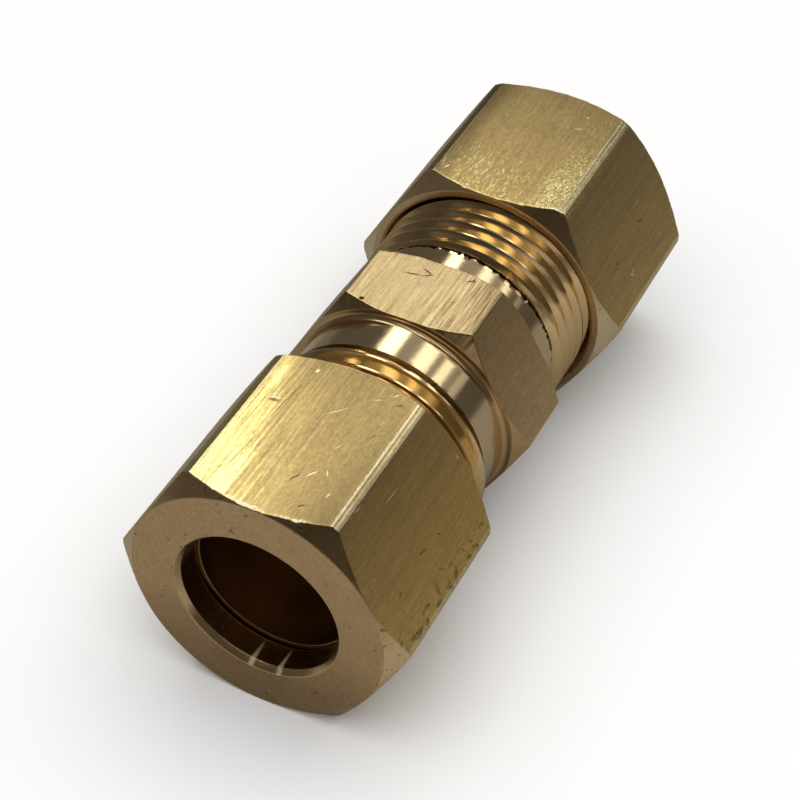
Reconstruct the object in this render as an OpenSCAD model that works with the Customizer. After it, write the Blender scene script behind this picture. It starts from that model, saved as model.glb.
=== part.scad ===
// Straight compression union for 3/8 in (9.53 mm) outside diameter tube.
// Millimetres. The tube axis is X, +Z is up, and the union lies on a flat of each nut.
// The origin is on the tube axis, half way between the outer faces of the two nuts.

/* [Tube] */
// inside diameter of the union's sockets and of the ferrules
socket_d = 9.66; // [6:0.01:16]
// through bore of the union, which leaves a stop for each tube
waterway_d = 7.92; // [4:0.01:12]
// bore of each nut, which the tube passes through
nut_bore_d = 9.80; // [6:0.01:17]

/* [Union body] */
// across the flats of the middle hexagon
body_af = 14.29; // [10:0.01:24]
// width of the middle hexagon along the tube
body_w = 5.46; // [3:0.01:12]
// diameter of the circle where the hexagon's corner chamfer starts
body_chamfer_d = 14.56; // [10:0.01:24]
// slope of that chamfer, from the end face
body_chamfer_deg = 33; // [15:1:50]
// length of each threaded arm, from the hexagon to the end
arm_len = 10.3; // [6:0.1:20]
// diameter of the plain neck beside the hexagon
neck_d = 13.48; // [8:0.01:22]
// length of the plain neck on the left and on the right
neck_len = [2.65, 1.75];
// fillet where the neck meets the hexagon
neck_fillet = 0.35; // [0.1:0.05:1]
// depth of each tube socket, from the end of the arm
socket_depth = 7.4; // [3:0.1:12]
// diameter of the ferrule seat at the mouth
seat_d = 11.50; // [8:0.01:20]
// half angle of the ferrule seat
seat_half_deg = 25; // [15:1:45]

/* [Thread] */
// pitch, 24 turns to the inch
pitch = 1.0583; // [0.5:0.0001:2.5]
// outside diameter of the male thread
thread_d = 14.24; // [8:0.01:24]
// root diameter of the male thread
root_d = 13.00; // [7:0.01:23]
// width of the flat on a crest
crest_w = 0.132; // [0.05:0.001:0.4]
// where a crest of the left and of the right thread crosses the level of the axis, from the
// middle of the body
thread_start = [0.80, 0.40];
// gap between the male and female threads, along the axis
thread_gap = 0.06; // [0.02:0.01:0.2]
// gap between the male and female threads, from the axis
thread_gap_r = 0.12; // [0.04:0.01:0.3]

/* [Nuts] */
// across the flats of each nut
nut_af = 15.88; // [12:0.01:30]
// length of each nut
nut_len = 12.05; // [6:0.01:25]
// diameter over the rounded corners
nut_corner_d = 18.0; // [13:0.01:34]
// diameter of the circle where the corner chamfer starts
nut_chamfer_d = 15.76; // [12:0.01:30]
// slope of the corner chamfer, from the end face
nut_chamfer_deg = 38; // [15:1:50]
// size of the chamfer at the tube bore's mouth, from the axis and along it
bore_chamfer = [0.28, 0.36];
// depth of the tube bore, from the outer face to the ferrule seat
nut_bore_len = 1.85; // [1:0.01:6]
// diameter of the thread's countersunk mouth
mouth_d = 14.90; // [8:0.01:28]

/* [Ferrules] */
// length of each ferrule
ferrule_len = 5.6; // [3:0.1:12]
// outside diameter
ferrule_d = 12.1; // [7:0.01:20]
// diameter of each end
ferrule_end_d = 10.4; // [6:0.01:19]
// length of the tapers at its two ends
ferrule_taper = 1.85; // [0.5:0.05:4]

/* [Positions] */
// gap between the left nut and the hexagon
gap_left = 5.75; // [2:0.01:12]
// gap between the right nut and the hexagon
gap_right = 6.18; // [2:0.01:12]
// gap between a ferrule and the seat in its nut
ferrule_gap = 0.05; // [0.02:0.01:1]

/* [Hidden] */
$fn = 96;
SEG = 40;                 // straight pieces in one turn of thread
LIP = 0.02;               // overlap between pieces that are joined
body_x = (gap_left - gap_right) / 2;
half_w = body_w / 2;
nut_out = body_w / 2 + nut_len + (gap_left + gap_right) / 2;
thread_h = (thread_d - root_d) / 2;
root_w = crest_w + 2 * thread_h * tan(30);
ferrule_x = nut_bore_len + (ferrule_end_d - nut_bore_d) / 2 + ferrule_gap;
body_color = [0.80, 0.66, 0.42];
nut_color = [0.78, 0.65, 0.36];
ferrule_color = [0.84, 0.71, 0.44];

// turns a shape drawn up Z so that it runs along X
module along_x(x = 0) {
    translate([x, 0, 0]) rotate([0, 90, 0]) children();
}

// a solid of revolution about X, from [x, radius] points of its outline
module turned(outline) {
    along_x() rotate_extrude() polygon([for (p = outline) [p[1], p[0]]]);
}

// a hexagonal bar along X from x0 to x1, lying on a flat
module hex_bar(af, x0, x1) {
    along_x(x0) rotate([0, 0, 30]) cylinder(h = x1 - x0, r = af / sqrt(3), $fn = 6);
}

// a hexagon with both ends chamfered and its corners turned down to corner_r
module chamfered_hex(af, x0, x1, start_r, deg, corner_r) {
    d = (corner_r - start_r) * tan(deg);
    intersection() {
        hex_bar(af, x0, x1);
        turned([[x0, 0], [x0, start_r], [x0 + d, corner_r],
                [x1 - d, corner_r], [x1, start_r], [x1, 0]]);
    }
}

// one closed body with a right-hand thread on it. A crest crosses angle 0 at x0, and
// it goes on for the given number of turns. Both ends are rough, to be trimmed.
module raw_thread(x0, turns, root_r, crest_r, w_root, w_crest) {
    m = turns * SEG;
    prof = [[-w_root / 2, root_r], [-w_crest / 2, crest_r], [w_crest / 2, crest_r], [w_root / 2, root_r]];
    rings = [for (i = [0:m]) for (p = prof)
        [x0 + pitch * i / SEG + p[0], p[1] * cos(360 * i / SEG), p[1] * sin(360 * i / SEG)]];
    ends = [[x0 - w_root / 2, 0, 0], [x0 + pitch * turns + w_root / 2, 0, 0]];
    s = 4 * (m + 1);
    e = s + 1;
    flanks = [for (i = [0:m - 1]) for (j = [0:2]) each
        [[4 * i + j, 4 * i + j + 1, 4 * i + j + 5], [4 * i + j, 4 * i + j + 5, 4 * i + j + 4]]];
    roots = [for (i = [0:m - SEG - 1]) each
        [[4 * i + 3, 4 * (i + SEG), 4 * (i + SEG + 1)], [4 * i + 3, 4 * (i + SEG + 1), 4 * i + 7]]];
    start = concat([for (i = [0:SEG - 1]) [s, 4 * i, 4 * i + 4]],
        [[s, 4 * SEG, 3], [s, 3, 2], [s, 2, 1], [s, 1, 0]]);
    last = 4 * m;
    near = 4 * (m - SEG) + 3;
    finish = concat([for (i = [0:SEG - 1]) [e, near + 4 * i + 4, near + 4 * i]],
        [[e, last, last + 1], [e, last + 1, last + 2], [e, last + 2, last + 3], [e, near, last]]);
    polyhedron(concat(rings, ends), concat(flanks, roots, start, finish), convexity = 12);
}

// distance from the middle of the body to the end of that side's neck
function neck_end(side) = half_w + neck_len[side > 0 ? 1 : 0];

// the last place before x where a crest of that side's thread crosses angle 0
function crest_at(x, side) =
    let (start = body_x + thread_start[side > 0 ? 1 : 0]) start + pitch * floor((x - start) / pitch);

// male thread of the arm on the +X side, or on the -X side
module arm_thread(side) {
    r = thread_d / 2;
    a = neck_end(side) - 0.35;
    b = half_w + arm_len;
    x0 = body_x + (side > 0 ? a : -b);
    x1 = body_x + (side > 0 ? b : -a);
    turns = ceil((b - a) / pitch) + 3;
    intersection() {
        raw_thread(crest_at(x0, side) - pitch, turns, root_d / 2, r, root_w, crest_w);
        translate([body_x, 0, 0]) mirror([side > 0 ? 0 : 1, 0, 0])
            turned([[a, 0], [a, neck_d / 2 - 0.1], [a + 0.75, r + 0.1],
                    [b - 1.05, r + 0.1], [b, root_d / 2 - 0.30], [b, 0]]);
    }
}

// neck of one arm, with a fillet against the hexagon
module arm_neck(side) {
    n = 8;
    f = neck_fillet;
    translate([body_x, 0, 0]) mirror([side > 0 ? 0 : 1, 0, 0])
        turned(concat([[half_w - 0.5, 0], [half_w - 0.5, neck_d / 2 + f]],
            [for (i = [0:n]) [half_w + f - f * cos(90 * i / n), neck_d / 2 + f - f * sin(90 * i / n)]],
            [[neck_end(side), neck_d / 2], [neck_end(side), 0]]));
}

// the opening down one arm: ferrule seat, tube socket and stop
module arm_hollow(side) {
    b = half_w + arm_len;
    d = (seat_d - socket_d) / 2 / tan(seat_half_deg);
    translate([body_x, 0, 0]) mirror([side > 0 ? 0 : 1, 0, 0])
        turned([[b - socket_depth, 0], [b - socket_depth, socket_d / 2], [b - d, socket_d / 2],
                [b, seat_d / 2], [b + 1, seat_d / 2 + tan(seat_half_deg)], [b + 1, 0]]);
}

module body() {
    color(body_color)
    difference() {
        union() {
            translate([body_x, 0, 0])
                chamfered_hex(body_af, -half_w, half_w, body_chamfer_d / 2, body_chamfer_deg, body_af * 0.5765);
            for (side = [-1, 1]) {
                arm_neck(side);
                arm_thread(side);
            }
        }
        for (side = [-1, 1]) arm_hollow(side);
        along_x(body_x - half_w - arm_len) cylinder(h = body_w + 2 * arm_len, d = waterway_d);
    }
}

// what is cut out of a nut whose outer face is at x and whose mouth faces the middle.
// side is -1 for the left nut and 1 for the right.
module nut_hollow(side) {
    bore = nut_bore_d / 2;
    pocket = root_d / 2 + 0.05;
    seat_end = nut_bore_len + (pocket - bore);
    thread_from = seat_end + 0.3;
    root_r = root_d / 2 + thread_gap_r;
    crest_r = thread_d / 2 + thread_gap_r + 0.02;
    w = function(r) crest_w + 2 * (thread_d / 2 - r) * tan(30) + 2 * thread_gap;
    // the opening is drawn from the outer face, and placed by mirroring it
    translate([side * nut_out, 0, 0]) mirror([side > 0 ? 1 : 0, 0, 0]) {
        turned([[-1, 0], [-1, bore + bore_chamfer[0] * (1 + 1 / bore_chamfer[1])],
                [0, bore + bore_chamfer[0]], [bore_chamfer[1], bore], [nut_bore_len, bore],
                [seat_end, pocket], [nut_len - 2, pocket], [nut_len - 2, 0]]);
        turned([[nut_len - (mouth_d / 2 - pocket) - 0.4, 0], [nut_len - (mouth_d / 2 - pocket) - 0.4, pocket - 0.4],
                [nut_len, mouth_d / 2], [nut_len + 1, mouth_d / 2 + 1], [nut_len + 1, 0]]);
    }
    x0 = side > 0 ? nut_out - nut_len : -nut_out + thread_from;
    x1 = side > 0 ? nut_out - thread_from : -nut_out + nut_len;
    intersection() {
        raw_thread(crest_at(x0, side) - pitch, ceil((x1 - x0) / pitch) + 3, root_r, crest_r, w(root_r), w(crest_r));
        translate([side * nut_out, 0, 0]) mirror([side > 0 ? 1 : 0, 0, 0])
            turned([[thread_from, 0], [thread_from, pocket - 0.2], [thread_from + 1.0, crest_r + 0.1],
                    [nut_len + 0.5, crest_r + 0.1], [nut_len + 0.5, 0]]);
    }
}

module nut(side) {
    color(nut_color)
    difference() {
        chamfered_hex(nut_af, side > 0 ? nut_out - nut_len : -nut_out, side > 0 ? nut_out : nut_len - nut_out,
            nut_chamfer_d / 2, nut_chamfer_deg, nut_corner_d / 2);
        nut_hollow(side);
    }
}

// a plain brass ring with both ends tapered, loose between the nut and the union
module ferrule(side) {
    r = ferrule_d / 2;
    e = ferrule_end_d / 2;
    l = ferrule_len;
    t = ferrule_taper;
    i = socket_d / 2;
    color(ferrule_color)
    translate([side * nut_out, 0, 0]) mirror([side > 0 ? 1 : 0, 0, 0]) translate([ferrule_x, 0, 0])
        turned([[0, i], [0, e - 0.1], [0.1, e], [(r - e) + 0.1, r], [l - t, r], [l, e], [l, i]]);
}

module nut_left() { nut(-1); }
module nut_right() { nut(1); }
module ferrule_left() { ferrule(-1); }
module ferrule_right() { ferrule(1); }

body();
nut_left();
nut_right();
ferrule_left();
ferrule_right();
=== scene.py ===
"""Looks of a straight brass compression union for 3/8 in tube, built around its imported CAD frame.

The tube axis is X and the union lies on a flat of each nut. Every brass piece is one closed ring
of mesh about X: its outline is a list of stations, and a row of vertices runs round the axis at
each point of the outline. Lengths in this file are millimetres until a mesh is made.
"""

import math

import bpy
import bmesh
import numpy as np
from mathutils import Matrix, Quaternion, Vector


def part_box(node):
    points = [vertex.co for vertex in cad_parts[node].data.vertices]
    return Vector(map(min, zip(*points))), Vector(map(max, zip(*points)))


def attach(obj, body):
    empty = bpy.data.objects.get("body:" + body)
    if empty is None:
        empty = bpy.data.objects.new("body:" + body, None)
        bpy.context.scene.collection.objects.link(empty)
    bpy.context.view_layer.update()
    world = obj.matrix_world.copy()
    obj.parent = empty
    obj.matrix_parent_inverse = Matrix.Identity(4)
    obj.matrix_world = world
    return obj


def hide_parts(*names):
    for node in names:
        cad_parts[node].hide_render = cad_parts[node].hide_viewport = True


MM = 0.001
TURN = 2 * math.pi

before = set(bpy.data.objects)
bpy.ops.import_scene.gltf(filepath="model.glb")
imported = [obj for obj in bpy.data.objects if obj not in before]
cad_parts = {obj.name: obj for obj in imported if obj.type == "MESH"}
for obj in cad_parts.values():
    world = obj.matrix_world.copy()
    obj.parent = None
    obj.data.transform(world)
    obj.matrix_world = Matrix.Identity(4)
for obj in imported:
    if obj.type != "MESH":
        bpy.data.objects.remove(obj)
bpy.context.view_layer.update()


# ---------------------------------------------------------------- sizes, from the frame and the CAD

def box_mm(node):
    """Lowest and highest corner of a CAD node, in millimetres."""
    low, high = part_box(node)
    return np.array(low) / MM, np.array(high) / MM


nut_low, nut_high = box_mm("nut_left")
body_low, body_high = box_mm("body")
NUT_OUT = -nut_low[0]                       # outer face of each nut, from the middle
NUT_LEN = nut_high[0] - nut_low[0]
NUT_FLAT = nut_high[2]                      # half the width across flats
NUT_CORNER = nut_high[1]                    # radius over the rounded corners
BODY_FLAT = body_high[2]
BODY_X = (body_low[0] + body_high[0]) / 2   # middle of the union body
ARM_END = (body_high[0] - body_low[0]) / 2  # end of each arm, from BODY_X
BODY_HALF = 2.73                            # half the width of the middle hexagon
BODY_CHAMFER = (7.28, math.tan(math.radians(33)))   # start radius and slope of the corner chamfer
NUT_CHAMFER = (7.88, math.tan(math.radians(38)))    # the same of a nut
NECK_R, NECK_FILLET = 6.74, 0.35            # necks between the hexagon and the threads
NECK_END = {-1: 5.38, 1: 4.48}              # end of the neck on each side, from BODY_X
TORN = {-1: 0.006, 1: 0.065}                # how far the neck's end edge is torn on each side
GROOVE = 0.28                               # width of the groove between neck and thread
GROOVE_EXTRA = {-1: 0.0, 1: 0.22}           # how much deeper than the thread it is on each side
LEAD_IN = {-1: 0.30, 1: 0.12}               # how far before the groove's end the thread starts to rise
SOCKET_R, SOCKET_END, SEAT_R = 4.83, ARM_END - 7.4, 5.75   # the tube's socket, and the seat's wide end
SEAT_DEPTH = (SEAT_R - SOCKET_R) / math.tan(math.radians(25))
WATERWAY_R = 3.96
TIP_R, TIP_CHAMFER = 6.2, (1.02, 1.05)      # end radius of each arm, and its chamfer's height and length
PITCH = 1.0583
CREST_R, ROOT_R, CREST_W = 7.12, 6.50, 0.132   # the thread's two radii, and the width of its crest
FLANK = math.radians(30)
ROOT_W = CREST_W + 2 * (CREST_R - ROOT_R) * math.tan(FLANK)
THREAD_START = {-1: 0.80, 1: 0.40}          # where a crest crosses angle 0, from BODY_X
THREAD_GAP, THREAD_GAP_R = 0.06, 0.12       # the nut's gap on each flank, and beyond the crest
BORE_R, BORE_LEN = 4.90, 1.85
BORE_MOUTH = (0.28, 0.36)                   # width and depth of the chamfer at the bore's mouth
POCKET_R, MOUTH_R = 6.55, 7.45              # a nut's threaded pocket, and its open inner end
EDGE = 0.07                                 # how far an ordinary edge is rounded over


# ---------------------------------------------------------------- ring meshes

def sector_angles(per_flat, corner_deg, corner_steps):
    """Angles round the axis, from 0 to a full turn, closer together at the six corners."""
    inner = np.linspace(-30 + corner_deg, 30 - corner_deg, per_flat - 2 * corner_steps + 1)
    corner = np.linspace(0, corner_deg, corner_steps + 1)[:-1]
    one = np.concatenate([-30 + corner, inner[:-1], 30 - corner_deg + corner])
    # flats face angles 30, 90, 150 and so on, so corners are at 0, 60, 120
    every = np.concatenate([one + 30 + 60 * k for k in range(6)] + [[360.0]])
    return np.radians(every)


def from_flat(angles):
    """Angle from the middle of the nearest flat, in radians, within 30 degrees either way."""
    return (angles - math.radians(30) + math.pi / 6) % (math.pi / 3) - math.pi / 6


def hexagon(angles, flat, corner_r, crown, soften):
    """Radius of a hexagon at each angle. Its flats are crowned, and its corners turned to corner_r."""
    a = from_flat(angles)
    across = np.abs(np.tan(a)) / math.tan(math.pi / 6)
    r = (flat - crown * across**4) / np.cos(a)
    return -soften * np.logaddexp(-r / soften, -corner_r / soften)


def ring_noise(angles, seed, waves, amplitude):
    """A wavy line round the axis, of the given wave counts, that closes on itself."""
    rng = np.random.default_rng(seed)
    total = np.zeros_like(angles)
    for k in waves:
        total += rng.normal() * np.sin(k * angles + rng.uniform(0, TURN))
    return amplitude * total / math.sqrt(len(waves))


def chips(angles, shapes):
    """Small burrs that stand out of an edge round the axis, each (angle, width in degrees, height)."""
    total = np.zeros_like(angles)
    for at, width, height in shapes:
        gap = np.abs((np.degrees(angles) - at + 180) % 360 - 180)
        total += height * np.clip(1.4 - gap / (width / 2), 0, 1)
    return total


def rounded(points, edges, cuts):
    """Rows of a closed outline. points are (x, r) arrays, edges how far each is rounded over, cuts how
    many rows lie between a point and the next. Also says which point each row follows."""
    rows, owner = [], []
    count = len(points)
    for i, p in enumerate(points):
        back, ahead = points[i - 1] - p, points[(i + 1) % count] - p
        len_back = np.linalg.norm(back, axis=1, keepdims=True)
        len_ahead = np.linalg.norm(ahead, axis=1, keepdims=True)
        if edges[i] > 0:
            t = np.minimum(edges[i], 0.45 * np.minimum(len_back, len_ahead))
            a = p + back / np.maximum(len_back, 1e-9) * t
            b = p + ahead / np.maximum(len_ahead, 1e-9) * t
            for s in (0.0, 0.28, 0.5, 0.72, 1.0):
                rows.append((1 - s) ** 2 * a + 2 * s * (1 - s) * p + s**2 * b)
                owner.append(i if s > 0.5 else (i - 1) % count)
        else:
            rows.append(p)
            owner.append(i)
        if cuts[i]:
            start = rows[-1]
            q = points[(i + 1) % count]
            nxt = points[(i + 2) % count] - q
            e = edges[(i + 1) % count]
            t = np.minimum(e, 0.45 * np.minimum(len_ahead, np.linalg.norm(nxt, axis=1, keepdims=True)))
            end = q - ahead / np.maximum(len_ahead, 1e-9) * t
            near = min(0.12, 0.5 / (cuts[i] + 1))
            inner = np.linspace(near, 1 - near, cuts[i]) if cuts[i] > 1 else [0.5]
            for s in inner:
                rows.append(start + (end - start) * s)
                owner.append(i)
    return rows, owner


def helix_rows(angles, x_from, x_to, start, steps):
    """x of rows that follow a right-hand thread's helix, held between two ends."""
    low, high = min(x_from, x_to), max(x_from, x_to)
    first = start + PITCH * math.floor((low - PITCH - start) / PITCH)
    base = []
    while first < high + PITCH:
        base += [first + t for t in steps]
        first += PITCH
    rows = [np.clip(b + PITCH * angles / TURN, low, high) for b in base]
    rows = [r for r in rows if r.max() > low + 1e-9 and r.min() < high - 1e-9]
    rows = [np.full_like(angles, low)] + rows + [np.full_like(angles, high)]
    return rows if x_from < x_to else rows[::-1]


def tooth(x, angles, start, top, bottom, w_top, w_bottom):
    """Radius of a thread's flank profile at (x, angle), from bottom to top."""
    t = np.abs((x - start - PITCH * angles / TURN + PITCH / 2) % PITCH - PITCH / 2)
    share = (w_bottom / 2 - t) / ((w_bottom - w_top) / 2)
    return bottom + (top - bottom) * np.clip(share, 0, 1)


def make_ring(name, rows, slots, angles, materials, smooth_deg=38):
    """A closed mesh through the rows, each an (x, r) array over the angles. The last row joins the first."""
    n, m = len(rows), len(angles)
    p = np.array(rows)
    co = np.stack([p[..., 0], p[..., 1] * np.cos(angles), p[..., 1] * np.sin(angles)], -1) * MM
    i, j = np.meshgrid(np.arange(n), np.arange(m - 1), indexing="ij")
    up = (i + 1) % n
    quads = np.stack([i * m + j, i * m + j + 1, up * m + j + 1, up * m + j], -1).reshape(-1, 4)
    mesh = bpy.data.meshes.new(name)
    mesh.from_pydata(co.reshape(-1, 3).tolist(), [], quads.tolist())
    mesh.polygons.foreach_set("material_index", np.repeat(np.array(slots, np.int32), m - 1))
    for material in materials:
        mesh.materials.append(material)
    weld(mesh)
    mesh.polygons.foreach_set("use_smooth", np.ones(len(mesh.polygons), bool))
    mesh.set_sharp_from_angle(angle=math.radians(smooth_deg))
    piece = bpy.data.objects.new(name, mesh)
    bpy.context.scene.collection.objects.link(piece)
    return piece


def weld(mesh, gap=3e-7):
    """Joins the seam and the rows that run together, and turns every face outward."""
    bm = bmesh.new()
    bm.from_mesh(mesh)
    bmesh.ops.remove_doubles(bm, verts=bm.verts, dist=gap)
    bmesh.ops.dissolve_degenerate(bm, edges=bm.edges, dist=gap)
    bmesh.ops.recalc_face_normals(bm, faces=bm.faces)
    bm.to_mesh(mesh)
    bm.free()


# ---------------------------------------------------------------- materials

class Nodes:
    """A small helper that adds nodes to one tree and links them."""

    def __init__(self, tree):
        self.tree = tree

    def add(self, kind, inputs=(), **props):
        made = self.tree.nodes.new("ShaderNode" + kind)
        for key, value in props.items():
            setattr(made, key, value)
        for key, value in dict(inputs).items():
            self.feed(made.inputs[key], value)
        return made

    def feed(self, socket, value):
        if isinstance(value, bpy.types.NodeSocket):
            self.tree.links.new(value, socket)
        else:
            socket.default_value = value

    def math(self, operation, a, b=0.0, clamp=False):
        made = self.add("Math", operation=operation, use_clamp=clamp)
        self.feed(made.inputs[0], a)
        self.feed(made.inputs[1], b)
        return made.outputs[0]

    def plus(self, a, b):
        return self.math("ADD", a, b)

    def less(self, a, b):
        return self.math("SUBTRACT", a, b)

    def times(self, a, b):
        return self.math("MULTIPLY", a, b)

    def most(self, a, b):
        return self.math("MAXIMUM", a, b)

    def absolute(self, a):
        return self.math("ABSOLUTE", a)

    def sway(self, noise, amount):
        """A noise taken about its middle, 0.5, times an amount."""
        return self.times(self.less(noise, 0.5), amount)

    def total(self, start, *parts):
        """A number plus the sum of (amount, noise) parts, where each noise moves it by up to its amount."""
        out = start
        for amount, noise in parts:
            out = self.plus(out, self.sway(noise, 2 * amount))
        return out

    def spread(self, value, low, high, to_low=0.0, to_high=1.0, soft=False):
        """Maps low..high of a value on to to_low..to_high, held at both ends."""
        return self.add("MapRange", {"Value": value, "From Min": low, "From Max": high, "To Min": to_low,
                                     "To Max": to_high}, clamp=True,
                        interpolation_type="SMOOTHSTEP" if soft else "LINEAR").outputs["Result"]

    def ramp(self, value, stops, end=2.0):
        """A colour for each value from 0 to end, from (value, colour) stops."""
        made = self.add("ValToRGB", {"Fac": self.times(value, 1 / end)})
        elements = made.color_ramp.elements
        while len(elements) < len(stops):
            elements.new(0.5)
        for element, (at, _) in zip(elements, stops):
            element.position = at / end
        for element, (_, tone) in zip(elements, stops):
            element.color = colour(*tone)
        return made.outputs["Color"]


class Shader(Nodes):
    """The nodes of one new material, brass unless told otherwise, with places in millimetres."""

    def __init__(self, name):
        self.material = bpy.data.materials.new(name)
        self.material.use_nodes = True
        super().__init__(self.material.node_tree)
        self.bsdf = self.tree.nodes["Principled BSDF"]
        self.bsdf.inputs["Metallic"].default_value = 1.0
        self.place = self.vector("SCALE", self.add("TexCoord").outputs["Object"], 1 / MM)
        parts = self.add("SeparateXYZ", {"Vector": self.place})
        self.x, self.y, self.z = (parts.outputs[k] for k in "XYZ")
        squares = self.plus(self.math("POWER", self.y, 2), self.math("POWER", self.z, 2))
        self.radius = self.math("SQRT", squares)

    def vector(self, operation, a, b):
        made = self.add("VectorMath", operation=operation)
        self.feed(made.inputs[0], a)
        self.feed(made.inputs["Scale"] if operation == "SCALE" else made.inputs[1], b)
        return made.outputs[0]

    def combine(self, x=0.0, y=0.0, z=0.0):
        return self.add("CombineXYZ", {"X": x, "Y": y, "Z": z}).outputs[0]

    def stretched(self, share, y_shift=0.0, z_shift=0.0):
        """Places where x counts by this share only, so that a noise is drawn out along the tube axis."""
        y = self.plus(self.y, y_shift) if y_shift else self.y
        z = self.plus(self.z, z_shift) if z_shift else self.z
        return self.combine(self.times(self.x, share), y, z)

    def noise(self, vector, scale=1.0, detail=2.0, roughness=0.5):
        return self.add("TexNoise", {"Vector": vector, "Scale": scale, "Detail": detail,
                                     "Roughness": roughness}).outputs["Fac"]

    def across_flat(self):
        """The angle from the middle of the nearest flat, and the distance across it, in millimetres."""
        around = self.math("ARCTAN2", self.z, self.y)
        wrapped = self.add("Math", {0: around, 1: math.pi / 3, 2: 0.0}, operation="WRAP").outputs[0]
        off = self.less(wrapped, math.pi / 6)
        return off, self.times(self.radius, self.math("SINE", off))

    def facing(self, degrees):
        """Places turned about X so that the flat facing that way faces +Z, and 1 on that flat."""
        turned = self.add("VectorRotate", {"Vector": self.place, "Angle": math.radians(90 - degrees)},
                          rotation_type="X_AXIS").outputs[0]
        up = self.add("SeparateXYZ", {"Vector": turned}).outputs["Z"]
        return turned, self.spread(up, *BODY_TOP)

    def marks(self, degrees, shapes, wobble=0.05):
        """Marks on the flat facing that way, each (x, across, angle, length, width), as a value 0 to 1.
        across is measured from the middle of the flat, and grows with the angle about X."""
        turned, here = self.facing(degrees)
        shake = self.add("TexNoise", {"Vector": self.place, "Scale": 6.0, "Detail": 2.0}).outputs["Color"]
        shake = self.vector("SCALE", self.vector("SUBTRACT", shake, (0.5, 0.5, 0.5)), 2 * wobble)
        where = self.vector("MULTIPLY", self.vector("ADD", turned, shake), (1, 1, 0))
        out = 0.0
        for x, across, angle, length, width in shapes:
            local = self.add("Mapping", {"Vector": where, "Location": (x, -across, 0),
                                         "Rotation": (0, 0, -math.radians(angle)),
                                         "Scale": (length / 2, width / 2, 1)}, vector_type="TEXTURE")
            far = self.add("VectorMath", {0: local.outputs[0]}, operation="LENGTH").outputs["Value"]
            out = self.most(out, self.spread(far, 0.45, 1.0, 1.0, 0.0))
        return self.times(out, here)

    def mix(self, share, a, b, blend="MIX"):
        """A mix of two colours. Inputs 6 and 7 and output 2 are the node's colour sockets."""
        made = self.add("Mix", data_type="RGBA", blend_type=blend)
        self.feed(made.inputs["Factor"], share)
        self.feed(made.inputs[6], a)
        self.feed(made.inputs[7], b)
        return made.outputs[2]

    def bump(self, height, depth_um, normal=None):
        """A bump whose height, from 0 to 1, stands for this many micrometres."""
        inputs = {"Height": height, "Distance": depth_um * 1e-6, "Strength": 1.0}
        if normal is not None:
            inputs["Normal"] = normal
        return self.add("Bump", inputs).outputs["Normal"]


def colour(r, g, b):
    return (r, g, b, 1.0)


# colours of each kind of brass surface, as (tone, colour) stops from dark to bright
NUT_TONES = [(0.0, (0.02, 0.012, 0.006)), (0.30, (0.20, 0.14, 0.06)), (0.64, (0.39, 0.295, 0.13)),
             (0.84, (0.52, 0.38, 0.165)), (1.16, (0.74, 0.56, 0.23)), (1.5, (0.94, 0.84, 0.32)),
             (1.9, (1.0, 0.95, 0.55))]
FACE_TONES = [(0.30, (0.18, 0.12, 0.06)), (0.7, (0.46, 0.32, 0.17)), (1.0, (0.68, 0.48, 0.26)),
              (1.3, (0.84, 0.64, 0.37)), (1.8, (1.0, 0.88, 0.62))]
BODY_TONES = [(0.0, (0.012, 0.008, 0.004)), (0.25, (0.16, 0.10, 0.05)), (0.6, (0.46, 0.34, 0.17)),
              (1.0, (0.79, 0.615, 0.33)), (1.4, (0.98, 0.82, 0.52)), (1.8, (1.0, 0.95, 0.75))]
GOLD_TONES = [(0.25, (0.22, 0.13, 0.06)), (0.7, (0.64, 0.45, 0.22)), (1.0, (0.90, 0.68, 0.36)),
              (1.5, (1.0, 0.86, 0.52))]
NECK_TONES = [(0.25, (0.20, 0.14, 0.07)), (0.7, (0.56, 0.42, 0.23)), (1.0, (0.81, 0.64, 0.385)),
              (1.5, (1.0, 0.90, 0.64))]
# this colour is also that of painted highlight lines on the nuts' corners
CREAM = (1.0, 0.90, 0.62)   # bare metal, worn bright
NEAR_TINT, FAR_TINT, BODY_TINT = (1.0, 0.92, 0.80), (1.0, 0.98, 0.96), (1.0, 0.95, 0.93)   # of side flats

TOP_FLAT, SIDE_FLAT = 90, 150             # degrees about X that two flats of each hexagon face
NUT_TOP, BODY_TOP = (7.3, 7.8), (6.9, 7.05)   # z between which a surface begins to count as the top flat
# the two pale lines are painted reflections
BORE_PAINTED_GLINTS = (-84.5, -105.0)            # degrees about X of two pale lines in each nut's bore

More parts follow.
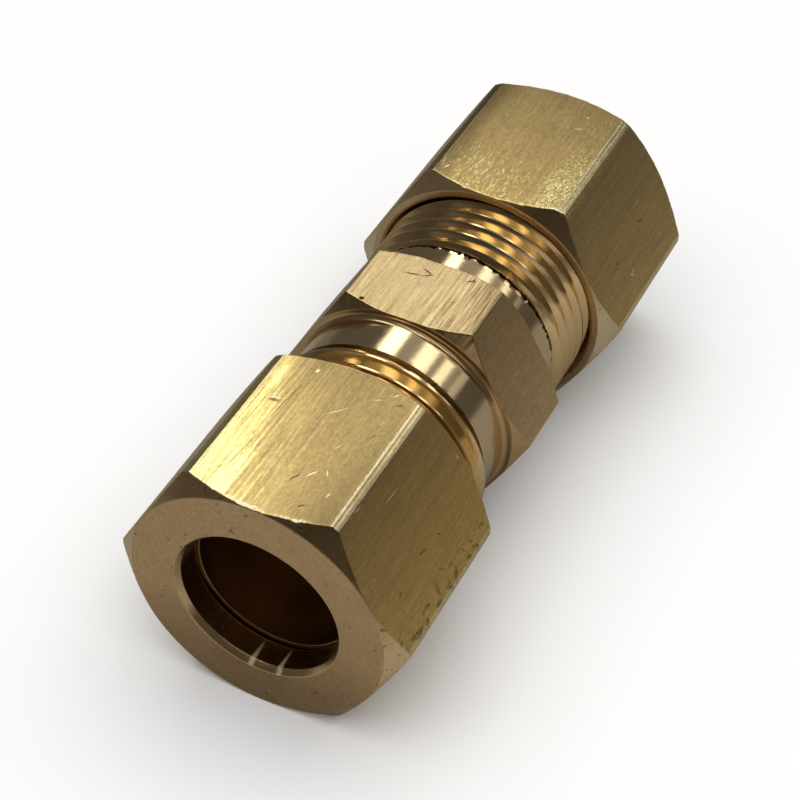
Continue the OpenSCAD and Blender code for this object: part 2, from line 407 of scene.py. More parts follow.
# single marks on the flats, each (x, across, angle, length, width)
NEAR_MARKS = {
    "dark": [(-12.98, -2.95, 78, 0.75, 0.24), (-13.0, -2.35, 6, 4.0, 0.035), (-17.4, -2.6, 5, 3.6, 0.035),
             (-17.6, 0.9, 30, 0.8, 0.09), (-10.2, 3.4, 60, 0.5, 0.12), (-13.0, 3.2, 20, 0.7, 0.07),
             (-19.3, 2.2, 50, 0.5, 0.10)],
    "pale": [(-12.2, 0.55, 42, 1.5, 0.075), (-9.85, -1.9, 15, 0.42, 0.22), (-12.78, -2.9, 78, 0.75, 0.13),
             (-17.0, 1.6, 35, 0.9, 0.13), (-16.6, 2.3, -30, 0.6, 0.10), (-10.4, 2.1, 65, 0.7, 0.06),
             (-9.6, 2.9, 40, 0.6, 0.08), (-14.6, 1.9, 20, 0.8, 0.05), (-20.55, -0.55, 80, 0.8, 0.24),
             (-20.5, 0.05, 70, 0.5, 0.20), (-20.45, 2.45, 75, 0.55, 0.22), (-18.0, 3.1, 15, 0.6, 0.10)],
    "dents": [(-13.5, 1.3, 30, 0.45, 0.16), (-15.3, 1.05, 10, 0.95, 0.17), (-14.7, 2.8, 40, 0.60, 0.17),
              (-18.3, 1.45, -20, 0.45, 0.16), (-12.4, 3.45, 60, 0.45, 0.14), (-16.9, 3.5, 20, 0.6, 0.18),
              (-19.1, 3.9, 35, 0.8, 0.20), (-18.2, 4.05, -30, 0.6, 0.16)],
    "scratches": [(-15.2, -2.85, 4, 1.9, 0.07), (-17.9, -4.15, 6, 0.9, 0.14), (-9.2, -0.65, 80, 0.5, 0.16),
                  (-18.6, -4.2, 3, 0.5, 0.09)]}
FAR_MARKS = {
    "dark": [(17.2, -1.2, 35, 0.7, 0.07), (13.6, -0.2, 12, 1.6, 0.05), (10.8, 1.7, 70, 0.5, 0.07)],
    "pale": [(19.0, 2.2, 0, 0.26, 0.20), (17.6, 2.1, 60, 0.7, 0.14), (11.6, -2.0, 8, 1.7, 0.10),
             (12.0, -2.5, 5, 1.0, 0.07), (10.9, -1.3, 14, 1.3, 0.09), (10.3, -3.6, 30, 0.6, 0.16),
             (9.2, -1.7, 80, 0.35, 0.20), (9.1, 0.6, 80, 0.35, 0.16), (9.1, 2.0, 80, 0.4, 0.16),
             (9.65, 4.25, 40, 0.7, 0.42)],
    "dents": [(12.2, 1.2, 20, 0.7, 0.16), (16.5, 0.8, 20, 0.9, 0.2)],
    "scratches": [(13.2, 2.75, 20, 0.42, 0.26), (13.45, 2.6, 80, 0.35, 0.15)]}
BODY_PITS = [(-2.45, -3.0, 60, 0.44, 0.38), (-2.45, -3.0, 30, 0.40, 0.38)]
BODY_SCRATCHES = [(0.92, -1.25, 80, 1.35, 0.11), (1.2, -0.4, 55, 0.7, 0.12), (1.5, -0.6, -68, 0.85, 0.10),
                  (1.85, 2.0, 60, 0.5, 0.14), (2.0, 2.2, -30, 0.4, 0.13), (0.2, -0.6, 30, 0.35, 0.06),
                  (-0.3, 1.9, 70, 0.3, 0.07)]


def finish(s, value, tones, rough, bumps, wear_and_glint=None, side=None, tint=None):
    """Feeds a tone from 0 to 2, a roughness and a list of (height, micrometres) bumps to the shader.
    wear_and_glint is the share of bare, brightly worn metal and of painted highlight, and side says where
    the tint applies."""
    tone = s.ramp(value, tones)
    if side is not None:
        tone = s.mix(side, tone, colour(*tint), "MULTIPLY")
    if wear_and_glint is not None:
        tone = s.mix(wear_and_glint, tone, colour(*CREAM))
    s.feed(s.bsdf.inputs["Base Color"], tone)
    s.feed(s.bsdf.inputs["Roughness"], rough)
    normal = None
    for height, depth in bumps:
        normal = s.bump(height, depth, normal)
    s.feed(s.bsdf.inputs["Normal"], normal)
    return s.material


def flat_edges(s, low, high, start, slope):
    """Distance from a flat's nearer chamfered end edge, and from its front edge, which is at low."""
    lean = s.times(s.less(s.radius, start), slope)
    front = s.less(s.less(s.x, low), lean)
    back = s.less(s.less(high, s.x), lean)
    return s.math("MINIMUM", front, back), front


def nut_flats(name, low, high, near):
    """Drawn flats of one nut: lines along the tube axis, a grainy scratched skin, worn edges and dents, with
    painted highlights and painted shade.
    """
    s = Shader(name)
    off, across = s.across_flat()
    fine = s.noise(s.stretched(0.03, 3.0), 7.0, 2.0, 0.6)
    wide = s.noise(s.stretched(0.05, 11.0), 1.6, 2.0, 0.6)
    grain = s.noise(s.stretched(0.7), 7.5, 5.0, 0.8)
    hair = s.noise(s.stretched(0.35, 0.0, 4.0), 6.0, 3.0, 0.7)
    blotch = s.noise(s.place, 0.45, 3.0, 0.55)
    warp = s.noise(s.stretched(0.25), 1.1, 3.0, 0.6)
    wobble = s.sway(warp, 2.2)
    top = s.spread(s.z, *NUT_TOP)
    side = s.less(1.0, top)
    t = s.times(s.y, -1.0)   # across the top flat, towards the side that faces the camera

    # how bright each place is, with painted highlight and painted shade, and how strong the drawn lines are
    # there
    if near:
        depth = s.plus(s.x, 12.0)
        # painted highlight: a bright band along the near top's +Y edge, and a painted falloff of brightness
        # with depth and across the flat
        slide = s.plus(s.plus(t, s.times(depth, 0.17)), wobble)
        bright = s.spread(slide, -3.7, -2.3, 0.46, 0.0, soft=True)
        painted_falloff = s.times(depth, s.spread(t, -0.5, 4.0, 0.052, -0.030))
        level = s.less(0.80, s.plus(s.math("MINIMUM", s.times(t, 0.042), 0.05), painted_falloff))
        lines = s.spread(t, 1.0, -2.0, 0.12, 0.42)
    else:
        depth = s.less(s.x, 11.0)
        # painted shade along the far top's +Y edge, and flecks that carry a painted highlight towards its -Y
        # edge
        painted_shade_band = s.spread(s.plus(t, s.times(wobble, 0.4)), -4.1, -2.5, -0.44, 0.0, soft=True)
        specks_and_painted_highlight = s.times(s.spread(s.plus(t, s.times(wobble, 0.5)), 2.0, 3.3),
                        s.spread(s.x, 12.0, 16.5, 1.0, 0.1))
        streak = s.times(s.spread(s.x, 11.0, 13.5, 1.0, 0.0), s.spread(t, 2.0, 0.5, 0.0, 0.8))
        specks_and_painted_highlight = s.most(specks_and_painted_highlight, s.times(streak, s.spread(hair, 0.5, 0.62)))
        bright = s.plus(painted_shade_band, s.times(s.times(specks_and_painted_highlight, s.spread(grain, 0.46, 0.58)), 1.05))
        # painted light that falls off along the axis
        level = s.less(0.93, s.times(depth, 0.022))
        lines = 0.14
    # painted light and shade: the top flat is brighter in places, the side flats darker upwards and brighter
    # on the +Y side
    painted_side_shade = s.spread(s.z, 7.6, -2.0, 0.84 if near else 0.74, 1.34 if near else 1.20)
    painted_side_shade = s.times(painted_side_shade, s.spread(s.y, 2.0, 4.0, 1.0, 1.35))
    level = s.plus(s.times(s.plus(level, bright), top), s.times(painted_side_shade, side))
    drawn = s.sway(fine, s.times(lines, 4.0))
    rubbed = s.spread(top, 0.0, 1.0, 0.55, 1.0)   # the side flats are smoother than the top
    skin = s.total(1.0, (0.60, grain), (0.36, hair), (0.12, wide), (0.16, blotch))
    skin = s.plus(1.0, s.times(s.less(skin, 1.0), rubbed))
    value = s.times(level, s.plus(skin, drawn))

    # flecks, worn end edges, and a painted highlight along the rounded corners that is partly wear
    fleck = s.times(s.spread(hair, 0.66, 0.72), s.spread(grain, 0.50, 0.60))
    value = s.plus(value, s.times(fleck, 0.45))
    edge, front = flat_edges(s, low, high, *NUT_CHAMFER)
    uneven = s.sway(grain, 0.5)
    worn = s.spread(s.plus(edge, uneven), 0.02, 0.16, 0.40, 0.0)
    corner = s.absolute(off)
    painted_corner_highlight = s.spread(corner, math.radians(27.8), math.radians(28.2))
    ragged = s.plus(corner, s.sway(grain, 0.02))
    upper = s.spread(s.absolute(s.less(ragged, math.radians(28.4))), math.radians(0.22), math.radians(0.62),
                     1.0, 0.0)
    middle = s.spread(ragged, math.radians(29.35), math.radians(29.8))
    value = s.plus(value, s.times(worn, top))
    # painted highlight on the corner band
    value = s.plus(value, s.times(painted_corner_highlight, 0.10 if near else 0.28))
    wear_and_glint = s.times(s.most(upper, s.times(middle, 0.9)), s.spread(warp, 0.35, 0.6, 0.4, 1.0))
    # the corner lines are partly wear and partly painted highlight, stronger towards -Y and higher up
    wear_and_glint = s.times(wear_and_glint, s.spread(s.y, -1.0, 2.0, 1.0, 0.35))
    wear_and_glint = s.times(wear_and_glint, s.spread(s.z, 1.0, 4.5, 0.35, 1.0))

    # single marks
    found = NEAR_MARKS if near else FAR_MARKS
    dark = s.marks(TOP_FLAT, found["dark"])
    pale = s.marks(TOP_FLAT, found["pale"])
    dents = s.marks(SIDE_FLAT, found["dents"], 0.09 if near else 0.05)
    scratch = s.marks(SIDE_FLAT, found["scratches"])
    if near:
        # a burr along two parts of the front edge of the top, and pits along the low edge of the side
        parts = s.most(s.spread(s.absolute(s.plus(t, 0.6)), 1.0, 1.4, 1.0, 0.0),
                       s.spread(s.absolute(s.less(t, 2.2)), 0.7, 1.1, 1.0, 0.0))
        burr = s.times(s.spread(s.plus(front, uneven), 0.10, 0.26, 1.0, 0.0), s.spread(hair, 0.40, 0.50))
        pale = s.most(pale, s.times(s.times(burr, parts), top))
        pit = s.noise(s.stretched(0.75, 6.0), 2.6, 3.0, 0.6)
        pits = s.times(s.spread(pit, 0.55, 0.60), s.times(s.spread(across, 2.6, 3.9), side))
        dents = s.most(dents, pits)
    wear_and_glint = s.most(wear_and_glint, s.most(pale, scratch))
    hollow = s.math("ADD", dark, s.times(dents, 0.9), clamp=True)
    value = s.times(value, s.less(1.0, s.times(hollow, 0.52)))

    rough = s.total(0.33, (0.05, grain), (0.04, blotch))
    smooth = s.most(s.times(painted_corner_highlight, 0.15), s.times(s.times(bright, top), 0.10))
    rough = s.less(rough, s.most(smooth, s.times(upper, 0.22)))
    bumps = [(s.times(fine, s.spread(top, 0.0, 1.0, 0.4, 1.0)), 7.0), (s.times(grain, rubbed), 9.0),
             (hair, 5.0), (s.less(1.0, hollow), 16.0)]
    return finish(s, value, NUT_TONES, rough, bumps, wear_and_glint, side, NEAR_TINT if near else FAR_TINT)


def body_flats(name):
    """Drawn flats of the middle hexagon, with strong lines along the tube axis and a few marks, and painted
    shade on the side flats.
    """
    s = Shader(name)
    fine = s.noise(s.stretched(0.05, 3.0), 9.0, 2.0, 0.6)
    line = s.noise(s.stretched(0.04, 7.0), 4.2, 2.0, 0.65)
    grain = s.noise(s.place, 7.0, 5.0, 0.8)
    hair = s.noise(s.stretched(0.4, 0.0, 4.0), 6.0, 3.0, 0.7)
    blotch = s.noise(s.place, 0.5, 3.0, 0.55)
    patch = s.noise(s.stretched(0.6), 0.9, 2.0, 0.5)
    top = s.spread(s.z, *BODY_TOP)
    side = s.less(1.0, top)
    t = s.times(s.y, -1.0)
    strength = s.plus(s.spread(patch, 0.42, 0.60, 0.08, 0.26), s.spread(t, 0.6, 2.2, 0.0, 0.26))
    strength = s.times(strength, s.spread(top, 0.0, 1.0, 0.12, 1.0))
    drawn = s.times(s.less(s.plus(line, fine), 1.0), s.times(strength, 4.5))
    skin = s.total(1.0, (0.45, grain), (0.10, blotch), (0.24, hair))
    level = s.less(0.89, s.spread(t, 2.2, 4.0, 0.0, 0.24))
    # painted shade: the side flats darker upwards
    painted_side_shade = s.spread(s.z, 6.5, 0.0, 0.66, 0.98)
    level = s.plus(s.times(level, top), s.times(painted_side_shade, side))
    value = s.times(level, s.plus(skin, drawn))
    edge, _ = flat_edges(s, BODY_X - BODY_HALF, BODY_X + BODY_HALF, *BODY_CHAMFER)
    worn = s.spread(s.plus(edge, s.sway(grain, 0.4)), 0.0, 0.12, 0.32, 0.0)
    value = s.plus(value, s.times(worn, top))
    pit = s.marks(TOP_FLAT, BODY_PITS, 0.05)
    dark = s.marks(TOP_FLAT, BODY_SCRATCHES, 0.04)
    value = s.times(value, s.less(1.0, s.times(dark, 0.7)))
    value = s.times(value, s.less(1.0, pit))
    rough = s.total(0.33, (0.05, grain), (0.03, blotch))
    lined = s.times(line, s.spread(top, 0.0, 1.0, 0.3, 1.0))
    bumps = [(lined, 14.0), (fine, 5.0), (grain, 7.0), (s.less(1.0, dark), 20.0)]
    return finish(s, value, BODY_TONES, rough, bumps, None, side, BODY_TINT)


def turned_brass(name, tones, level, rough, rings, grains, along=False, pits=0.0, painted_glints=(), chamfer=None):
    """A face, chamfer, neck or bore cut on a lathe: fine rings round the axis, freckles and small pits.
    The rings follow each other along the axis or, on a face, outward. painted_glints are the angles of
    painted reflections, pale lines that run along the axis, and chamfer the radius beyond which painted
    shade darkens the metal above and painted light makes it paler below; it also turns on painted shade
    lower down the face and painted light on the nuts' inner ends."""
    s = Shader(name)
    wobble = s.noise(s.place, 0.4, 2.0)
    where = s.plus(s.x if along else s.radius, s.times(wobble, 0.05))
    fine = s.noise(s.combine(where), 9.0, 3.0, 0.7)
    blotch = s.noise(s.place, 0.5, 3.0, 0.55)
    grain = s.noise(s.place, 6.0, 5.0, 0.75)
    spot = s.noise(s.combine(s.x, s.plus(s.y, 9.0), s.z), 2.4, 2.0, 0.5)
    value = s.times(level, s.total(1.0, (rings * 2, fine), (grains * 3, grain), (0.10, blotch)))
    if chamfer:
        # painted shade and light on the chamfer: darker above and towards -Y, paler below
        outside = s.spread(s.radius, chamfer, chamfer + 0.06)
        upper = s.spread(s.y, 2.0, -3.0, 1.08, 0.46)
        there = s.add("Mix", {"Factor": s.spread(s.z, 5.5, 0.5), "A": upper, "B": 1.34}).outputs["Result"]
        value = s.times(value, s.plus(1.0, s.times(outside, s.less(there, 1.0))))
        # painted shade: the face darker downwards
        value = s.times(value, s.spread(s.z, -1.0, -5.0, 1.0, 0.76))
        # painted light: the nuts' inner ends are paler
        value = s.times(value, s.spread(s.absolute(s.x), 9.0, 10.0, 1.35, 1.0))
    hole = s.times(s.spread(spot, 0.68, 0.72), pits)
    value = s.times(value, s.less(1.0, s.times(hole, 0.45)))
    if painted_glints:
        # painted reflections: two pale lines along the bore, made partly matt
        pale = 0.0
        end = s.absolute(s.x)
        half = s.spread(end, NUT_OUT - 1.9, NUT_OUT - 0.1, 0.010, 0.055)
        for at in painted_glints:
            gap = s.absolute(s.less(s.math("ARCTAN2", s.z, s.y), math.radians(at)))
            pale = s.most(pale, s.spread(s.math("DIVIDE", gap, half), 0.15, 1.0, 1.0, 0.0, soft=True))
        pale = s.times(pale, s.spread(end, NUT_OUT - 2.0, NUT_OUT - 0.5, 0.10, 1.0))
        s.feed(s.bsdf.inputs["Metallic"], s.spread(pale, 0.0, 1.0, 1.0, 0.6))
        value = s.plus(value, s.times(pale, 0.12))
    return finish(s, value, tones, s.total(rough, (0.04, blotch), (0.03, grain)),
                  [(fine, 30 * rings), (grain, 40 * grains), (s.less(1.0, hole), 10.0)])


flat_near = nut_flats("nut_flat_near", -NUT_OUT, -NUT_OUT + NUT_LEN, True)
flat_far = nut_flats("nut_flat_far", NUT_OUT - NUT_LEN, NUT_OUT, False)
face_nut = turned_brass("nut_face", FACE_TONES, 0.96, 0.36, 0.09, 0.14, pits=1.0, chamfer=NUT_CHAMFER[0])
bore_nut = turned_brass("nut_bore", FACE_TONES, 1.10, 0.26, 0.08, 0.10, along=True, painted_glints=BORE_PAINTED_GLINTS)
thread_nut = turned_brass("nut_thread", FACE_TONES, 0.80, 0.24, 0.08, 0.10, along=True)
flat_body = body_flats("body_flat")
face_body = turned_brass("body_face", FACE_TONES, 0.95, 0.20, 0.07, 0.06)
neck_body = turned_brass("body_neck", NECK_TONES, 1.0, 0.10, 0.05, 0.05, along=True)
thread_body = turned_brass("body_thread", GOLD_TONES, 1.0, 0.10, 0.05, 0.06, along=True)
bore_body = turned_brass("body_bore", FACE_TONES, 1.25, 0.30, 0.08, 0.10, along=True)
# the torn end faces get a low tone that stands for the shade at the torn edge: painted shade
torn_painted_shade = turned_brass("body_torn", FACE_TONES, 0.38, 0.34, 0.08, 0.20)
ring_brass = turned_brass("ferrule", FACE_TONES, 0.85, 0.30, 0.06, 0.08, along=True)


# ---------------------------------------------------------------- pieces

# material slots: those of a nut, and those of the body that differ, in the order of their materials
FLAT, FACE, BORE, THREAD = range(4)
BODY_NECK, BODY_BORE, BODY_TORN = 2, 4, 5

# burrs on the outer and on the inner end of the flats of each nut, each (angle, width, height)
NUT_CHIPS = {
    -1: ([(84.6, 2.0, 0.12), (86.6, 2.4, 0.18), (90.2, 3.0, 0.16), (94.5, 1.6, 0.08), (107.5, 2.4, 0.10),
          (72.5, 1.6, 0.06)],
         [(96.0, 1.5, 0.06), (141.5, 1.5, 0.05), (66.0, 2.5, 0.05)]),
    1: ([(100.0, 1.6, 0.05), (131.0, 1.5, 0.05)],
        [(118.6, 2.6, 0.13), (77.5, 2.2, 0.11), (94.0, 2.2, 0.08), (104.5, 2.4, 0.09)])}

# where rows follow each turn of thread, from its crest, in millimetres along the axis
NUT_THREAD_ROWS = (-0.47, -0.4146, -0.23, -0.06, 0.0, 0.06, 0.23, 0.4146, 0.47)
ARM_THREAD_ROWS = (-0.424, -0.30, -0.17, -0.09, -0.062, 0.0, 0.062, 0.09, 0.17, 0.30, 0.424, 0.529)

# waves round the axis that make the ends of the flats, and the ends of the necks, uneven
NUT_WAVES = (23, 41, 67, 101, 137, 173, 197, 223)
BODY_WAVES = (37, 59, 83, 107, 131, 143)
TORN_WAVES = (17, 37, 53, 71, 97, 113, 131, 149)
KEEP_IN = 0.01   # an uneven edge stays at least this far inside the end face


def column(x, r, angles):
    """One point of an outline, at each angle. Either part may be a number or an array."""
    return np.stack([np.broadcast_to(x, angles.shape), np.broadcast_to(r, angles.shape)], -1).astype(float)


def build_nut(name, side, seed, flat_material):
    """One nut. Its outline is drawn by depth from the outer face, then mirrored to its own side."""
    angles = sector_angles(80, 4.0, 10)
    hexa = hexagon(angles, NUT_FLAT, NUT_CORNER, crown=0.03, soften=0.008)
    start, slope = NUT_CHAMFER
    ragged = [ring_noise(angles, seed + k, NUT_WAVES, 0.030) for k in (0, 1)]
    outer, inner_edge = (chips(angles, c) for c in NUT_CHIPS[side])
    wide = (hexa - start) * slope
    edge = [np.maximum(wide + ragged[0] - outer, KEEP_IN),
            np.minimum(NUT_LEN - wide + ragged[1] + inner_edge, NUT_LEN - KEEP_IN)]
    lip = hexa - np.minimum(0.10, 0.5 * (hexa - start))   # the chamfer is smooth up to here
    stations = [   # depth, radius, rounding, rows before the next, slot
        (0.0, BORE_R + BORE_MOUTH[0], EDGE, 6, FACE),
        (0.0, start, EDGE, 3, FACE),
        ((lip - start) * slope, lip, 0, 0, FACE),
        (edge[0], hexa, 0.05, 34, FLAT),
        (edge[1], hexa, 0.05, 0, FACE),
        (NUT_LEN - (lip - start) * slope, lip, 0, 3, FACE),
        (NUT_LEN, start, EDGE, 2, FACE),
        (NUT_LEN, MOUTH_R, EDGE, 0, FACE),
    ]
    mouth_station = len(stations) - 1
    seat_end = BORE_LEN + POCKET_R - BORE_R
    thread_end = seat_end + 0.3
    stations += [
        (thread_end, POCKET_R, 0, 0, BORE),
        (seat_end, POCKET_R, EDGE, 3, BORE),
        (BORE_LEN, BORE_R, EDGE, 4, BORE),
        (BORE_MOUTH[1], BORE_R, 0.05, 1, BORE),
    ]
    points = [column(s[0], s[1], angles) for s in stations]
    rows, owner = rounded(points, [s[2] for s in stations], [s[3] for s in stations])
    slots = [stations[o][4] for o in owner]

    place = lambda depth: side * (NUT_OUT - depth)
    crest = BODY_X + THREAD_START[side]
    top, bottom = CREST_R + THREAD_GAP_R + 0.02, ROOT_R + THREAD_GAP_R
    width = lambda r: CREST_W + 2 * (CREST_R - r) * math.tan(FLANK) + 2 * THREAD_GAP
    thread = []
    for x in helix_rows(angles, place(NUT_LEN - EDGE), place(thread_end), crest, NUT_THREAD_ROWS):
        depth = NUT_OUT - side * x
        r = tooth(x, angles, crest, top, bottom, width(top), width(bottom))
        lead_in = np.minimum(r, POCKET_R - 0.15 + np.maximum(depth - thread_end, 0) * 0.9)
        mouth = MOUTH_R - (NUT_LEN - depth)
        thread.append(np.stack([x, np.maximum(np.maximum(lead_in, mouth), POCKET_R)], -1))
    for row in rows:
        row[:, 0] = place(row[:, 0])
    # the thread goes in after the rows of the mouth
    cut = max(k for k, o in enumerate(owner) if o == mouth_station) + 1
    rows[cut:cut] = thread
    slots[cut - 1:cut] = [THREAD] * (len(thread) + 1)
    return make_ring(name, rows, slots, angles, [flat_material, face_nut, bore_nut, thread_nut])


def build_body():
    """The union body: its middle hexagon, two necks, two threaded arms and the bore through it."""
    angles = sector_angles(50, 3.0, 6)
    hexa = hexagon(angles, BODY_FLAT, BODY_FLAT / math.cos(math.pi / 6) - 0.03, crown=0.012, soften=0.012)
    start_r, slope = BODY_CHAMFER
    start = np.minimum(start_r, hexa - 0.03)
    ragged = [ring_noise(angles, 40 + k, BODY_WAVES, 0.020) for k in (0, 1)]
    edge = BODY_HALF - (hexa - start) * slope
    torn = {side: ring_noise(angles, 60 + side, TORN_WAVES, TORN[side]) for side in (-1, 1)}
    shoulder_r = NECK_R + NECK_FILLET + 0.02
    rows, slots = [], []

    def thread(side, outward):
        """Rows of one arm's thread, from the groove past the neck out to the end or back."""
        groove = NECK_END[side] + GROOVE
        near, far = BODY_X + side * groove, BODY_X + side * ARM_END
        crest = BODY_X + THREAD_START[side]
        ends = (near, far) if outward else (far, near)
        out = []
        for x in helix_rows(angles, *ends, crest, ARM_THREAD_ROWS):
            d = side * (x - BODY_X)
            r = tooth(x, angles, crest, CREST_R, ROOT_R, CREST_W, ROOT_W)
            r = np.minimum(r, ROOT_R + (d - groove + LEAD_IN[side]) * 1.5)
            r = np.minimum(r, TIP_R + (ARM_END - d) * TIP_CHAMFER[0] / TIP_CHAMFER[1])
            out.append(np.stack([x, r], -1))
        return out

    def fillet(side):
        """Rows from the neck up to the side face of the hexagon."""
        turn = np.linspace(0, math.pi / 2, 6)
        return [column(BODY_X + side * (BODY_HALF + NECK_FILLET - NECK_FILLET * math.sin(t)),
                       NECK_R + NECK_FILLET * (1 - math.cos(t)), angles) for t in turn]

    def neck(side):
        """Five rows up the torn end of one neck, and nine along the neck towards the hexagon."""
        end = NECK_END[side] + torn[side]
        root = ROOT_R - GROOVE_EXTRA[side]
        lip = [(NECK_END[side] + 0.24, root), (end + 0.05, root), (end + 0.015, NECK_R - 0.05),
               (end, NECK_R + 0.3 * torn[side]), (end - 0.05, NECK_R)]
        shank = [(x, NECK_R) for x in np.linspace(NECK_END[side] - 0.25, BODY_HALF + NECK_FILLET + 0.02, 9)]
        return [column(BODY_X + side * x, r, angles) for x, r in lip + shank]

    def lay(new, *new_slots):
        """Adds rows. Each slot holds for one row, and the last for the rest."""
        rows.extend(new)
        slots.extend(new_slots)
        slots.extend([new_slots[-1]] * (len(new) - len(new_slots)))

    lay(thread(-1, False), THREAD)
    lay(neck(-1), BODY_NECK, BODY_TORN, BODY_TORN, BODY_NECK)
    lay(fillet(-1), FACE)
    stations = [   # x from the middle, radius, rounding, rows before the next, slot
        (-BODY_HALF, shoulder_r, 0, 1, FACE),
        (-BODY_HALF, start, 0.04, 2, FACE),
        (np.maximum(ragged[0] - edge, KEEP_IN - BODY_HALF), hexa, 0.035, 22, FLAT),
        (np.minimum(ragged[1] + edge, BODY_HALF - KEEP_IN), hexa, 0.035, 2, FACE),
        (BODY_HALF, start, 0.04, 1, FACE),
        (BODY_HALF, shoulder_r, 0, 0, FACE),
    ]
    points = [column(BODY_X + s[0], s[1], angles) for s in stations]
    made, owner = rounded(points, [s[2] for s in stations], [s[3] for s in stations])
    lay(made, *[stations[o][4] for o in owner])
    lay(fillet(1)[::-1], FACE)
    neck_rows = neck(1)[::-1]
    lay(neck_rows[:-3], BODY_NECK)
    lay(neck_rows[-3:], BODY_TORN)
    lay(thread(1, True), THREAD)
    half = [(ARM_END, TIP_R, 0.03), (ARM_END, SEAT_R, EDGE), (ARM_END - SEAT_DEPTH, SOCKET_R, EDGE),
            (SOCKET_END, SOCKET_R, 0.05), (SOCKET_END, WATERWAY_R, EDGE)]
    inner = half + [(-x, r, e) for x, r, e in half[::-1]]
    points = [column(BODY_X + p[0], p[1], angles) for p in inner]
    made, owner = rounded(points, [p[2] for p in inner], [0, 2, 6, 2, 8, 2, 6, 2, 0, 0])
    lay(made, BODY_BORE)
    return make_ring("union_body", rows, slots, angles,
                     [flat_body, face_body, neck_body, thread_body, bore_body, torn_painted_shade])


def build_ferrule(name, node):
    """One loose ferrule, a turned ring with a taper at each end."""
    low, high = box_mm(node)
    side = 1 if low[0] > 0 else -1
    length, r = high[0] - low[0], high[2]
    angles = np.linspace(0, TURN, 181)
    end_r, long_taper = 5.2, 1.85
    stations = [   # depth from the outer end, radius, rounding, rows before the next
        (0, SOCKET_R, 0.06, 1), (0, end_r, 0.12, 4), (r - end_r + 0.1, r, 0.15, 6),
        (length - long_taper, r, 0.15, 4), (length, end_r, 0.12, 1), (length, SOCKET_R, 0.06, 8)]
    outer = high[0] if side > 0 else low[0]
    points = [column(outer - side * s[0], s[1], angles) for s in stations]
    rows, _ = rounded(points, [s[2] for s in stations], [s[3] for s in stations])
    return make_ring(name, rows, [0] * len(rows), angles, [ring_brass])


for node, name, body, side, seed, material in (
        ("nut_left", "left_compression_nut", "left_nut", -1, 10, flat_near),
        ("nut_right", "right_compression_nut", "right_nut", 1, 20, flat_far)):
    piece = build_nut(name, side, seed, material)
    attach(piece, body)
    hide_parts(node)

piece = build_body()
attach(piece, "union")
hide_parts("body")

for node, name, body in (("ferrule_left", "left_ferrule_ring", "left_ferrule"),
                         ("ferrule_right", "right_ferrule_ring", "right_ferrule")):
    piece = build_ferrule(name, node)
    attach(piece, body)
    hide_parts(node)


# ---------------------------------------------------------------- stage, light and camera

WINDOW = (1.0, 0.975, 0.90)   # colour of daylight
WINDOW_POLAR = 62             # degrees from +X to the middle of each window panel
LEAN = -30                    # degrees that the window panels lean over
# panels of one window, each (name, degrees about X, width, reach along X, radiance), all seen in the necks
PANELS = (("window_a", 57.6, 12.2, (-21, 21), 2.35), ("window_b", 94.5, 11.5, (-21, 21), 1.35),
          ("window_c", 117.5, 7, (-21, 21), 1.1), ("window_d", 137.5, 6, (-19, 19), 0.38),
          ("skylight_a", 94.5, 11.5, (21, 62), 1.0), ("skylight_b", 117.5, 9, (21, 62), 1.0),
          ("skylight_c", 137.5, 9, (21, 62), 0.8))
# colours of the surroundings, from straight down to straight up
SKY_TONES = [(0.0, (0.32, 0.29, 0.26)), (0.44, (0.34, 0.31, 0.28)), (0.52, (0.09, 0.08, 0.07)),
             (1.0, (0.12, 0.11, 0.10))]


def direction(psi, polar):
    """Unit vector at an angle from +X, turned psi degrees about X from +Y towards +Z."""
    p, a = math.radians(polar), math.radians(psi)
    return Vector((math.cos(p), math.sin(p) * math.cos(a), math.sin(p) * math.sin(a)))


def softbox(name, psi, polar, width, reach, radiance, tint=(1, 1, 1), distance=0.45, lean=0.0,
            floor_only=False):
    """A soft panel seen from the middle of the object at that direction. width is in degrees round X,
    reach how far it runs towards and away from +X, and lean turns the panel in its own plane. Panels
    show in reflections, except one that only lights the floor."""
    where = direction(psi, polar)
    data = bpy.data.lights.new(name, "AREA")
    data.shape = "RECTANGLE"
    data.size = 2 * distance * math.tan(math.radians(width) / 2)
    start, end = (distance * math.tan(math.radians(degrees)) for degrees in reach)
    data.size_y = end - start
    data.energy = radiance * math.pi * data.size * data.size_y
    data.color = tint
    light = bpy.data.objects.new(name, data)
    bpy.context.scene.collection.objects.link(light)
    away = direction(psi, polar + 1) - where
    away = (away - away.dot(where) * where).normalized()
    away.rotate(Quaternion(where, math.radians(lean)))
    side = away.cross(where).normalized()
    light.matrix_world = Matrix((side, away, where)).transposed().to_4x4()
    light.location = where * distance + away * (start + end) / 2
    light.visible_glossy = not floor_only
    light.visible_diffuse = floor_only
    light.visible_camera = False


for name, psi, width, reach, radiance in PANELS:
    softbox(name, psi, WINDOW_POLAR, width, reach, radiance, WINDOW, lean=LEAN)
softbox("window_wall", 101, WINDOW_POLAR, 74, (-22, 22), 0.22, WINDOW, distance=0.9)
softbox("floor_light", 90, 90, 90, (-45, 45), 1.80, distance=0.6, floor_only=True)

world = bpy.data.worlds.new("studio")
bpy.context.scene.world = world
world.use_nodes = True
sky = Nodes(world.node_tree)
toward = sky.add("SeparateXYZ", {"Vector": sky.add("TexCoord").outputs["Generated"]}).outputs
# darker towards the near end of the union, with a low band of light there that the thread's flanks face
strength = sky.spread(toward["X"], -1.0, -0.4, 0.35, 1.0)
glow = sky.spread(toward["X"], -0.78, -0.93, 0.0, 4.0)
for low, high in ((0.28, 0.18), (0.0, 0.05)):
    glow = sky.times(glow, sky.spread(toward["Z"], low, high))
background = world.node_tree.nodes["Background"].inputs
sky.feed(background["Color"], sky.ramp(sky.spread(toward["Z"], -1.0, 1.0), SKY_TONES, end=1.0))
sky.feed(background["Strength"], sky.plus(strength, glow))


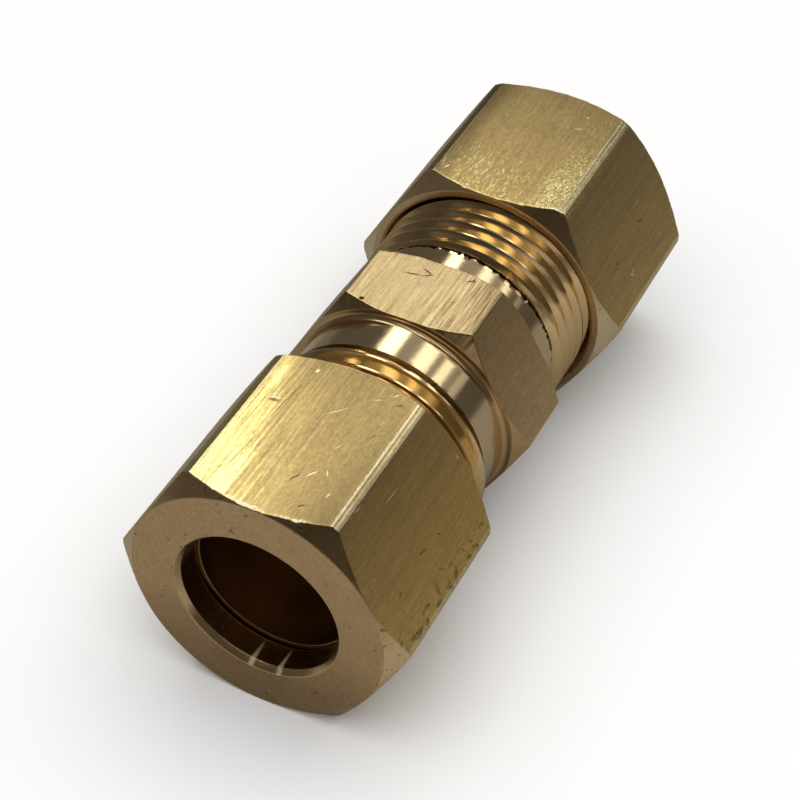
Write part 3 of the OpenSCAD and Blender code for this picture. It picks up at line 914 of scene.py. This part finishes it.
def plane(name, half, level, tint, painted_fade=None):
    """A level square of matt material, which is part of the stage. painted_fade is the share of its tint
    that is left under the union's far end, and the tint fades to the sides too; both fades are painted
    shade."""
    mesh = bpy.data.meshes.new(name)
    corners = [(-half, -half, level), (half, -half, level), (half, half, level), (-half, half, level)]
    mesh.from_pydata(corners, [], [(0, 1, 2, 3)])
    made = bpy.data.objects.new(name, mesh)
    bpy.context.scene.collection.objects.link(made)
    s = Shader(name)
    s.bsdf.inputs["Metallic"].default_value = 0.0
    s.bsdf.inputs["Roughness"].default_value = 0.9
    if painted_fade:
        # painted shade: the tint darker under the union's far end and to the sides
        share = s.spread(s.plus(s.x, s.times(s.y, 0.3)), -40.0, 0.0, 1.0, painted_fade)
        share = s.times(share, s.spread(s.y, 18.0, 45.0, 1.0, 0.5))
        share = s.times(share, s.spread(s.x, -70.0, -42.0, 0.4, 1.0))
        s.feed(s.bsdf.inputs["Base Color"], s.vector("SCALE", tint, share))
    else:
        s.bsdf.inputs["Base Color"].default_value = colour(*tint)
    mesh.materials.append(s.material)
    return made


# the floor that the camera sees is pale, and the brass reflects a darker one just above it, its tint fading
# as painted shade
FLOOR_HALF, FLOOR_LEVEL, TABLE_LIFT = 3.0, -NUT_FLAT * MM, 0.00002
floor = plane("floor", FLOOR_HALF, FLOOR_LEVEL, (0.92, 0.92, 0.92))
floor.visible_glossy = False
table = plane("table_in_reflections", FLOOR_HALF, FLOOR_LEVEL + TABLE_LIFT, (0.40, 0.375, 0.345), painted_fade=0.62)
table.visible_camera = table.visible_diffuse = table.visible_shadow = False

CAMERA_AT = Vector((-84.779, -39.158, 88.228)) * MM
HEADING, TILT, ROLL = math.radians(25.622), math.radians(43.998), math.radians(1.50)
LENS, SENSOR = 94.688, 36.0
camera_data = bpy.data.cameras.new("camera")
camera_data.lens, camera_data.sensor_width = LENS, SENSOR
camera_data.clip_start, camera_data.clip_end = 0.005, 20.0
camera = bpy.data.objects.new("camera", camera_data)
bpy.context.scene.collection.objects.link(camera)
forward = Vector((math.cos(TILT) * math.cos(HEADING), math.cos(TILT) * math.sin(HEADING), -math.sin(TILT)))
level_right = forward.cross(Vector((0, 0, 1))).normalized()
level_up = level_right.cross(forward)
right = level_right * math.cos(ROLL) + level_up * math.sin(ROLL)
up = right.cross(forward)
camera.matrix_world = Matrix((right, up, -forward)).transposed().to_4x4()
camera.location = CAMERA_AT
bpy.context.scene.camera = camera
bpy.context.scene.view_settings.view_transform = "Standard"
